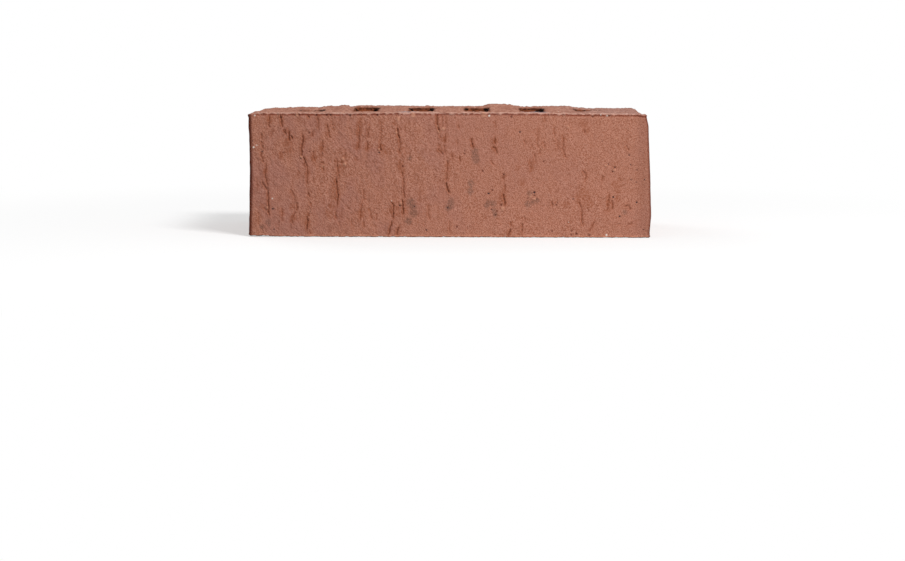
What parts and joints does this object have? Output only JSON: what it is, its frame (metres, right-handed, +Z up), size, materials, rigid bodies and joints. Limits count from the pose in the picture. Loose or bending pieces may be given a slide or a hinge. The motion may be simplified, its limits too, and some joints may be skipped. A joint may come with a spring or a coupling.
{
  "type": "clinker brick",
  "caption": "Clinker brick with a row of upright slots through the middle of its bed, and bark-torn stretcher faces.",
  "frame": {"origin": "middle of the lower bed, level with the floor that the brick lies on", "axes": "+X along the stretcher face, +Y from the pictured stretcher face to the back, +Z up through the slots"},
  "size_m": [0.21, 0.1, 0.065],
  "materials": {
    "fired_clay": "matt red-brown fired clay, bark-torn faces and wire-cut beds"
  },
  "bodies": {
    "root": {"brick": "fired_clay"}
  },
  "joints": []
}
